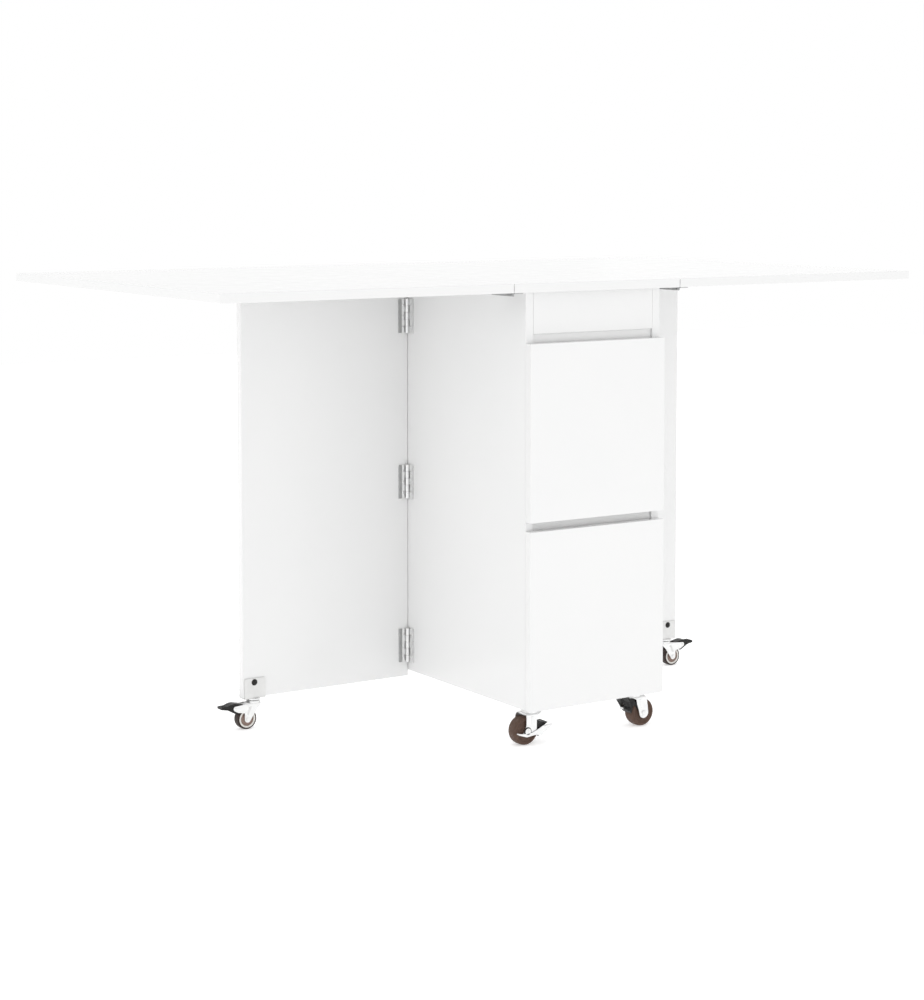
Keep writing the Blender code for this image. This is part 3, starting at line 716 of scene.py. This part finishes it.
def gate_pedal(side, way):
    """The moulded pedal with its hump, its grip bars and the toe that presses on the tread."""
    place = outward(*JOINTS[f"{side}_gate_pedal_press"]["pos_m"], way)
    tip_top, tip_under = (0.0260, 0.0048), (0.0262, 0.0010)
    hump = [(0.0150, 0.0050), (0.0080, 0.0080), (0.0010, 0.0090), (-0.0060, 0.0074)]
    hump += [(-0.0148, 0.0056)]
    toe = [(-0.0146, 0.0044), (-0.0068, -0.0010), (-0.0062, -0.0080), (-0.0050, -0.0108)]
    under = [(-0.0014, -0.0098), (0.0060, -0.0056), (0.0105, -0.0030), (0.0150, -0.0010)]
    outline = [tip_top, *hump, *toe, *under, tip_under]
    shape = bmesh.new()
    rounded = fillet(outline, radius=0.0036, steps=5, closed=False)
    prism(shape, rounded, PEDAL_WIDTH, place)
    bar = [(-0.0008, -0.0006), (0.0008, -0.0009), (0.0005, 0.0006), (-0.0005, 0.0007)]
    for bar_x, bar_z in ((0.0150, 0.0051), (0.0178, 0.0051), (0.0206, 0.0050), (0.0234, 0.0049)):
        section = fillet([(bar_x + x, bar_z + z) for x, z in bar], radius=0.0003, steps=2)
        prism(shape, section, PEDAL_WIDTH * BAR_SHARE, place)
    body = f"{side}_gate_pedal"
    edges = {"bevel": 0.0006, "angle": 30, "segments": 3}
    made = piece(f"gate_pedal_{side}", shape, "black_plastic", body, **edges)
    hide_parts(f"gate_caster_pedal_{side}")


def gate_glides(side, way):
    """Two small pads on the gate's top edge that carry the leaf."""
    low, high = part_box(f"gate_panel_{side}")
    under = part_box(f"leaf_panel_{side}")[0].z
    height = under - high.z - GLIDE_CLEARANCE
    middle_y = (low.y + high.y) / 2
    pin_x = JOINTS[f"{side}_gate_hinge"]["pos_m"][0]
    section = [(-0.0130, 0), (0.0130, 0), (0.0122, height), (-0.0122, height)]
    pads = bmesh.new()
    for reach in GLIDE_REACHES:
        place = Matrix.Translation((pin_x + way * reach, middle_y, high.z))
        prism(pads, fillet(section, radius=0.0012), thickness=0.0130, place=place)
    piece(f"gate_glides_{side}", pads, "pale_plastic", f"{side}_gate", bevel=0.0005, segments=3)


# ---- Cabinet casters ----------------------------------------------------------------------

FORK_HALF_Y = 0.01335
FORK_OUTSIDE = FORK_HALF_Y + FORK_STEEL / 2
FORK_ROUND_END = 0.0094
WHEEL_HALF = 0.01125
PLATE_HALF_X, PLATE_HALF_Y = 0.0210, 0.0190
PLATE_STEEL = 0.0020
PLATE_SCREW_X, PLATE_SCREW_Y = 0.0172, 0.0150

# Where a brake's parts are along the axle, and the radius of their holes for it.
WEB_Y = 0.0113
ARM_Y = 0.01188
WASHER_Y = 0.0146
LEVER_Y = 0.01545
FOOT_Y = 0.0160
LIP_Y = 0.0167
HUB_HOLE = 0.0033


def caster_plate(name, place):
    """The screwed plate with rounded corners, its screws and the upper race."""
    low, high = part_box(f"caster_plate_{name}")
    top_z = high.z
    half_x, half_y = PLATE_HALF_X, PLATE_HALF_Y
    corners = [(-half_x, -half_y), (half_x, -half_y), (half_x, half_y), (-half_x, half_y)]
    flat = place @ Matrix.Translation((0, 0, top_z - PLATE_STEEL / 2)) @ QUARTER_TURN
    shape = bmesh.new()
    prism(shape, fillet(corners, radius=0.0050, steps=6), PLATE_STEEL, flat)
    cup = [(0, top_z - 0.0015), (0.0128, top_z - 0.0015), (0.0142, top_z - 0.0026)]
    cup += [(0.0150, top_z - 0.0040), (0.0150, low.z + 0.0008), (0.0143, low.z), (0, low.z)]
    lathe(shape, cup, place, steps=64)
    made = piece(f"plate_{name}", shape, "zinc_steel", "cabinet", bevel=0.0004)
    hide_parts(f"caster_plate_{name}")
    places = [
        facing(place @ Vector((x, y, top_z - PLATE_STEEL)), (0, 0, -1))
        for x in (-PLATE_SCREW_X, PLATE_SCREW_X)
        for y in (-PLATE_SCREW_Y, PLATE_SCREW_Y)
    ]
    screws(f"plate_screws_{name}", places, SMALL_SCREW, "cabinet")


def caster_fork_steel(name, place, axle):
    """The pressed fork with its swivel head. One leg slants, and the other is upright."""
    bridge = {"bridge_z": 0.0531, "bend": 0.0030, "bridge_ends": (-0.0160, 0.0165)}
    slanted = list(reversed(arc(*axle, FORK_ROUND_END, start=200, end=264, steps=8)))
    slanted += [(0.0028, 0.0300), (-0.0008, 0.0400), (-0.0022, 0.0480), (-0.0060, 0.0500)]
    outboard = arc(*axle, FORK_ROUND_END, start=276, end=355, steps=10)
    outboard += [(0.0218, 0.0340), (0.0200, 0.0470), (0.0188, 0.0500)]
    upright = list(reversed(arc(*axle, FORK_ROUND_END, start=205, end=264, steps=8)))
    upright += [(-0.0020, 0.0215), (-0.0044, 0.0250), (-0.0050, 0.0470), (-0.0080, 0.0500)]
    straight = arc(*axle, FORK_ROUND_END, start=276, end=340, steps=8)
    straight += [(0.0172, 0.0300), (0.0160, 0.0340), (0.0158, 0.0500)]
    rows = cheek_rows(slanted, outboard, FORK_HALF_Y, **bridge)
    rows += mirrored(cheek_rows(upright, straight, FORK_HALF_Y, **bridge))
    shape = bmesh.new()
    strap(shape, rows, FORK_STEEL, place)
    head = [(0, 0.0530), (0.0140, 0.0530), (0.0145, 0.0537), (0.0145, 0.0562)]
    head += [(0.0136, 0.0573), (0, 0.0573)]
    lathe(shape, head, place, steps=64)
    made = piece(f"fork_{name}", shape, "zinc_steel", f"{name}_fork", bevel=0.0004)
    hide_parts(f"caster_fork_{name}")


def caster_fork(name, place, axle):
    """The fork, and the beads, axle bolt and nut on it."""
    body = f"{name}_fork"
    outside = FORK_OUTSIDE
    caster_fork_steel(name, place, axle)
    bead = bmesh.new()
    slanted = [(0.0040, 0.0485), (0.0075, 0.0485), (0.0105, 0.0345), (0.0090, 0.0325)]
    slanted += [(0.0068, 0.0345)]
    upright = [(0.0020, 0.0485), (0.0060, 0.0485), (0.0060, 0.0365), (0.0040, 0.0350)]
    upright += [(0.0020, 0.0365)]
    for front, ridge in ((-1, slanted), (1, upright)):
        flat = fillet(ridge, radius=0.0022)
        prism(bead, flat, thickness=0.0014, place=beside(place, front * outside))
    piece(f"fork_bead_{name}", bead, "zinc_steel", body, bevel=0.0005, segments=3)
    pins = bmesh.new()
    for front in (-1, 1):
        nut = sideways(place, axle, front * outside, front)
        hex_head(pins, nut, width=0.0078, height=0.0019)
    bar = sideways(place, axle, -outside, 1)
    rod(pins, radius=0.0030, length=2 * outside, place=bar, steps=24)
    piece(f"fork_bolt_{name}", pins, "zinc_steel", body)


def caster_wheel(name):
    """A solid wheel with a rounded tread, dished sides and a boss."""
    place = facing(JOINTS[f"{name}_wheel_spin"]["pos_m"], (0, 1, 0))
    half = WHEEL_HALF
    wall = [(0.0033, half * 0.96), (0.0070, half * 0.96), (0.0080, half * 0.82)]
    wall += [(0.0172, half * 0.86), (0.0184, half * 0.985), (0.0208, half)]
    wall += [(0.0231, half * 0.82), (0.0240, half * 0.45)]
    shape = bmesh.new()
    tread = [(0.0240, 0)]
    profile = fillet(both_faces(wall, tread), radius=0.0010, steps=4)
    lathe(shape, profile, place, steps=96, closed=True)
    made = piece(f"wheel_{name}", shape, "brown_rubber", f"{name}_wheel")
    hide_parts(f"caster_wheel_{name}")


def brake_pad(name, tilt, body):
    """The forked black pad over the tread, with its arms to the axle."""
    top = [(-0.0322, 0.0292), (-0.0304, 0.0281), (-0.0290, 0.0266), (-0.0205, 0.0254)]
    top += [(-0.0163, 0.0188)]
    shoe = arc(0, 0, radius=0.0249, start=131, end=178, steps=9)
    prongs = [(-0.0248, 0.0009), (-0.0284, 0.0046), (-0.0286, 0.0076), (-0.0244, 0.0114)]
    prongs += [(-0.0246, 0.0166), (-0.0318, 0.0276)]
    outline = fillet(top, radius=0.0016, closed=False)[:-1] + shoe
    outline += fillet(prongs, radius=0.0018, closed=False)[1:]
    pad = bmesh.new()
    prism(pad, outline, thickness=0.0241, place=tilt)
    arm = [(-0.0298, 0.0262), (-0.0205, 0.0252), (-0.0045, 0.0062), (0.0035, 0.0062)]
    arm += [(0.0062, 0.0), (0.0035, -0.0058), (-0.0045, -0.0050), (-0.0160, 0.0120)]
    arm += [(-0.0240, 0.0180)]
    for front in (-1, 1):
        rounded = fillet(arm, radius=0.0030)
        prism(pad, rounded, thickness=0.0008, place=beside(tilt, front * ARM_Y))
    made = piece(f"brake_pad_{name}", pad, "black_plastic", body, bevel=0.0003, angle=30)
    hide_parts(f"caster_brake_{name}")


def brake_lever(name, tilt, body):
    """The zinc lever outside the fork, with its web to the pad, its lip and its foot."""
    crescent = [(0.0192, -0.0122), (0.0132, -0.0122), (-0.0020, -0.0094), (-0.0160, 0.0004)]
    crescent += [(-0.0292, 0.0046), (-0.0292, 0.0084), (-0.0405, 0.0262), (-0.0396, 0.0298)]
    crescent += [(-0.0240, 0.0205), (-0.0150, 0.0088), (-0.0080, 0.0012), (0.0010, -0.0044)]
    crescent += [(0.0120, -0.0088), (0.0192, -0.0102)]
    lever = bmesh.new()
    middle = beside(tilt, LEVER_Y)
    prism(lever, fillet(crescent, radius=0.0016), thickness=0.0014, place=middle)
    ring(lever, HUB_HOLE, outer=0.0056, low=-0.0007, high=0.0007, place=middle @ QUARTER_TURN)
    web = [(-0.0287, 0.0050), (-0.0259, 0.0050), (-0.0259, 0.0078), (-0.0287, 0.0078)]
    prism(lever, fillet(web, radius=0.0006), thickness=0.0096, place=beside(tilt, WEB_Y))
    lip = [(0.0125, -0.0117), (0.0190, -0.0120), (0.0190, -0.0107), (0.0125, -0.0104)]
    prism(lever, fillet(lip, radius=0.0005), thickness=0.0026, place=beside(tilt, LIP_Y))
    foot = [(-0.0402, 0.0266), (-0.0390, 0.0290), (-0.0262, 0.0216), (-0.0272, 0.0196)]
    prism(lever, fillet(foot, radius=0.0006), thickness=0.0032, place=beside(tilt, FOOT_Y))
    piece(f"brake_lever_{name}", lever, "zinc_steel", body, bevel=0.0003)


def caster_brake(name, place, axle, pressed):
    """A brake on the wheel's axle, drawn raised and turned by how far it is pressed at rest."""
    turn = Matrix.Rotation(-pressed, 4, "Y")
    tilt = place @ Matrix.Translation((axle[0], 0, axle[1])) @ turn
    body = f"{name}_brake"
    brake_pad(name, tilt, body)
    brake_lever(name, tilt, body)
    washer = bmesh.new()
    flat = beside(tilt, WASHER_Y) @ QUARTER_TURN
    ring(washer, HUB_HOLE, outer=0.0072, low=-0.0003, high=0.0002, place=flat)
    piece(f"brake_washer_{name}", washer, "black_plastic", body)


def caster(end, side, way):
    """A whole cabinet caster. Only the front ones have brakes."""
    name = f"{end}_{side}"
    swivel = JOINTS[f"{name}_swivel"]["pos_m"]
    spin = JOINTS[f"{name}_wheel_spin"]["pos_m"]
    place = outward(swivel[0], swivel[1], 0, way)
    axle = (abs(spin[0] - swivel[0]), spin[2])
    caster_plate(name, place)
    caster_fork(name, place, axle)
    caster_wheel(name)
    if end == "front":
        low = JOINTS[f"{name}_brake_press"]["range_deg"][0]
        caster_brake(name, place, axle, math.radians(-low))


# ---- Drawer runners -----------------------------------------------------------------------

RUNNER_STEEL = 0.0012
RUNNER_CLEARANCE = 0.0001
CHANNEL_WIDTH = 0.0090

# From the channel's back end to the roller's hub, and from there to the rail's back end.
ROLLER_ROOM = 0.012


def runners(level, side, way):
    """A channel on the cabinet's side, and a rail and a roller on the drawer."""
    box_low, box_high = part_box(f"drawer_side_{level}_{side}")
    side_low, side_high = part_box(f"cabinet_side_{side}")
    wall = side_low.x if way > 0 else -side_high.x
    outer = max(abs(box_low.x), abs(box_high.x))
    low_z = box_low.z + 0.0040
    front_y, back_y = box_low.y + 0.010, box_high.y - 0.004
    length, middle_y = back_y - front_y, (back_y + front_y) / 2
    flip = Matrix.Scale(way, 4, (1, 0, 0))

    back, inside, lip = wall - RUNNER_CLEARANCE, wall - RUNNER_STEEL, wall - CHANNEL_WIDTH
    channel = [(back, 0), (back, 0.0300), (inside, 0.0300), (inside, 0.0212), (lip, 0.0212)]
    channel += [(lip, 0.0200), (inside, 0.0200), (inside, 0.0012), (lip, 0.0012), (lip, 0)]
    fixed = bmesh.new()
    prism(fixed, [(x, low_z + z) for x, z in channel], length, beside(flip, middle_y))
    piece(f"runner_channel_{level}_{side}", fixed, "zinc_steel", "cabinet", bevel=0.0002)

    near, web, far = outer + RUNNER_CLEARANCE, outer + 0.0013, outer + 0.0100
    rail = [(near, -0.0010), (web, -0.0010), (web, 0.0098), (far, 0.0098), (far, 0.0110)]
    rail += [(near, 0.0110)]
    body = f"{level}_drawer"
    moving = bmesh.new()
    rail_place = beside(flip, middle_y - ROLLER_ROOM)
    prism(moving, [(x, low_z + z) for x, z in rail], length - 2 * ROLLER_ROOM, rail_place)
    piece(f"runner_rail_{level}_{side}", moving, "zinc_steel", body, bevel=0.0002)

    roller = [(0, -0.0028), (0.0072, -0.0028), (0.0078, -0.0022), (0.0078, 0.0022)]
    roller += [(0.0072, 0.0028), (0, 0.0028)]
    hub = (way * (outer + 0.0068), back_y - ROLLER_ROOM, low_z + 0.0105)
    wheel = bmesh.new()
    lathe(wheel, roller, facing(hub, (1, 0, 0)), steps=36)
    piece(f"runner_roller_{level}_{side}", wheel, "pale_plastic", body, bevel=0.0003)


for leaf_side, leaf_way in SIDES.items():
    gate_hinge_details(leaf_side, leaf_way)
    leaf_hinge_details(leaf_side, leaf_way)
    gate_bracket(leaf_side, leaf_way)
    gate_fork(leaf_side, leaf_way)
    gate_wheel(leaf_side)
    gate_pedal(leaf_side, leaf_way)
    gate_glides(leaf_side, leaf_way)
    for drawer_level in ("upper", "lower"):
        runners(drawer_level, leaf_side, leaf_way)
    for caster_end in ("front", "rear"):
        caster(caster_end, leaf_side, leaf_way)


# ---- Floor, light and camera --------------------------------------------------------------

FLOOR_HALF = 7
WHITE = (1, 1, 1, 1)

# The floor glows a little, so that it stays as white as the backdrop.
FLOOR_GLOW = 0.42


def floor():
    """A wide pale floor."""
    sockets = {"Roughness": 0.9, "Emission_Color": WHITE, "Emission_Strength": FLOOR_GLOW}
    made, tree, shader, place = finish_material("pale_floor", **sockets)
    cloud = noise(tree, place, scale=1.5, detail=3.0)
    colour = tint(tree, cloud, (0.86, 0.86, 0.86), (0.89, 0.89, 0.89))
    tree.links.new(colour, shader.inputs["Base Color"])
    shape = bmesh.new()
    corners = ((-1, -1), (1, -1), (1, 1), (-1, 1))
    shape.faces.new([shape.verts.new((FLOOR_HALF * x, FLOOR_HALF * y, 0)) for x, y in corners])
    mesh = bpy.data.meshes.new("floor")
    shape.to_mesh(mesh)
    shape.free()
    mesh.materials.append(made)
    ground = bpy.data.objects.new("floor", mesh)
    bpy.context.scene.collection.objects.link(ground)


def panel_light(name, place, aim, size, power):
    """A square area light, with its power in watts."""
    lamp = bpy.data.lights.new(name, "AREA")
    lamp.shape = "SQUARE"
    lamp.size = size
    lamp.energy = power
    held = bpy.data.objects.new(name, lamp)
    held.location = place
    held.rotation_euler = (Vector(aim) - Vector(place)).to_track_quat("-Z", "Y").to_euler()
    bpy.context.scene.collection.objects.link(held)


floor()
panel_light("key", place=(-4.4, -1.4, 1.5), aim=(0, 0, 0.35), size=2.6, power=6)
panel_light("fill", place=(3.6, 2.6, 2.2), aim=(0, 0, 0.4), size=2.6, power=1)
panel_light("top", place=(0.2, 0.3, 3.6), aim=(0, 0, 0.7), size=3.0, power=10)

world = bpy.data.worlds.new("studio")
world.use_nodes = True
world.node_tree.nodes["Background"].inputs["Color"].default_value = WHITE
world.node_tree.nodes["Background"].inputs["Strength"].default_value = 1.0
bpy.context.scene.world = world
bpy.context.scene.view_settings.view_transform = "Standard"

HEADING = math.radians(32.949)
PITCH = math.radians(3.820)
lens = bpy.data.cameras.new("camera")
lens.lens = 81.269
lens.sensor_width = 36.0
lens.shift_y = -0.18
camera = bpy.data.objects.new("camera", lens)
camera.location = (-2.2201, -3.40717, 0.9547)
camera.rotation_euler = (math.pi / 2 - PITCH, 0, -HEADING)
bpy.context.scene.collection.objects.link(camera)
bpy.context.scene.camera = camera
